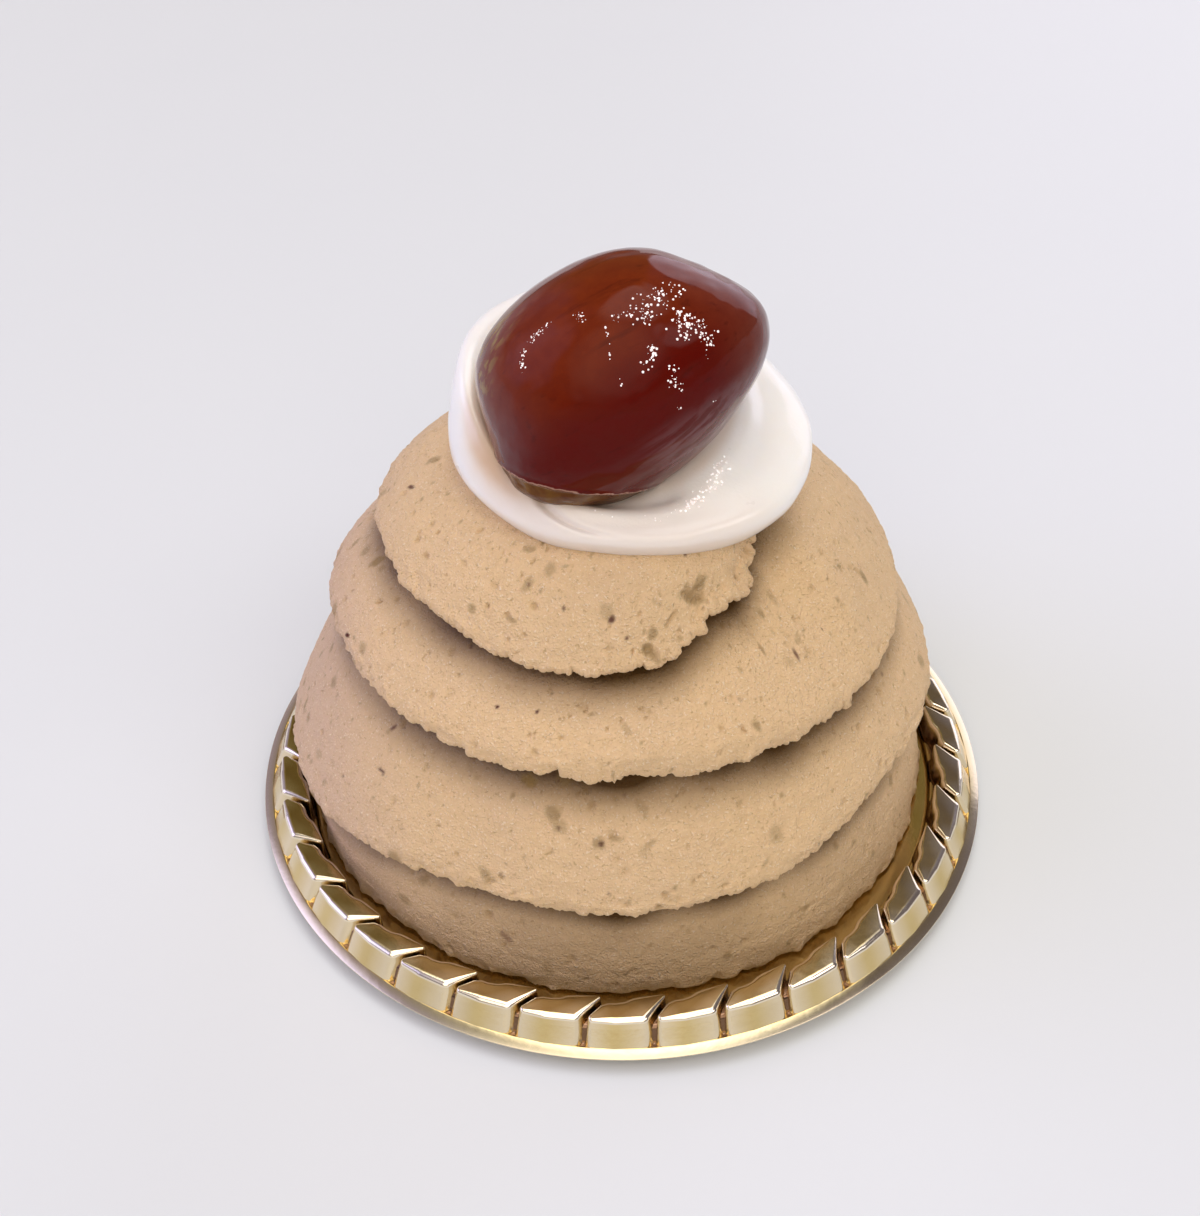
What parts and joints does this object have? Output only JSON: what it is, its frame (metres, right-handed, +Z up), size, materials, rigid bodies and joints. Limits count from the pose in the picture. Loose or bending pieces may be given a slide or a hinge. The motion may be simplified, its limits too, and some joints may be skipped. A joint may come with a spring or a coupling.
{
  "type": "mont blanc cake",
  "caption": "Dome-shaped mont blanc cake wound from a broad chestnut paste ribbon, with whipped cream and a candied chestnut on top, on a small gold cake tray.",
  "frame": {"origin": "middle of the tray's underside, on the surface that it stands on", "axes": "+Z up, -Y towards the front, from which the ribbon's torn end shows at the right"},
  "size_m": [0.08, 0.08, 0.0641],
  "materials": {
    "gold_tray": "mirror gold coating",
    "chestnut_paste": "matte, finely granular",
    "whipped_cream": "soft satin",
    "candied_chestnut": "wet syrup gloss"
  },
  "bodies": {
    "root": {"tray": "gold_tray", "chestnut_cream": "chestnut_paste", "whipped_cream": "whipped_cream", "chestnut": "candied_chestnut"}
  },
  "joints": []
}
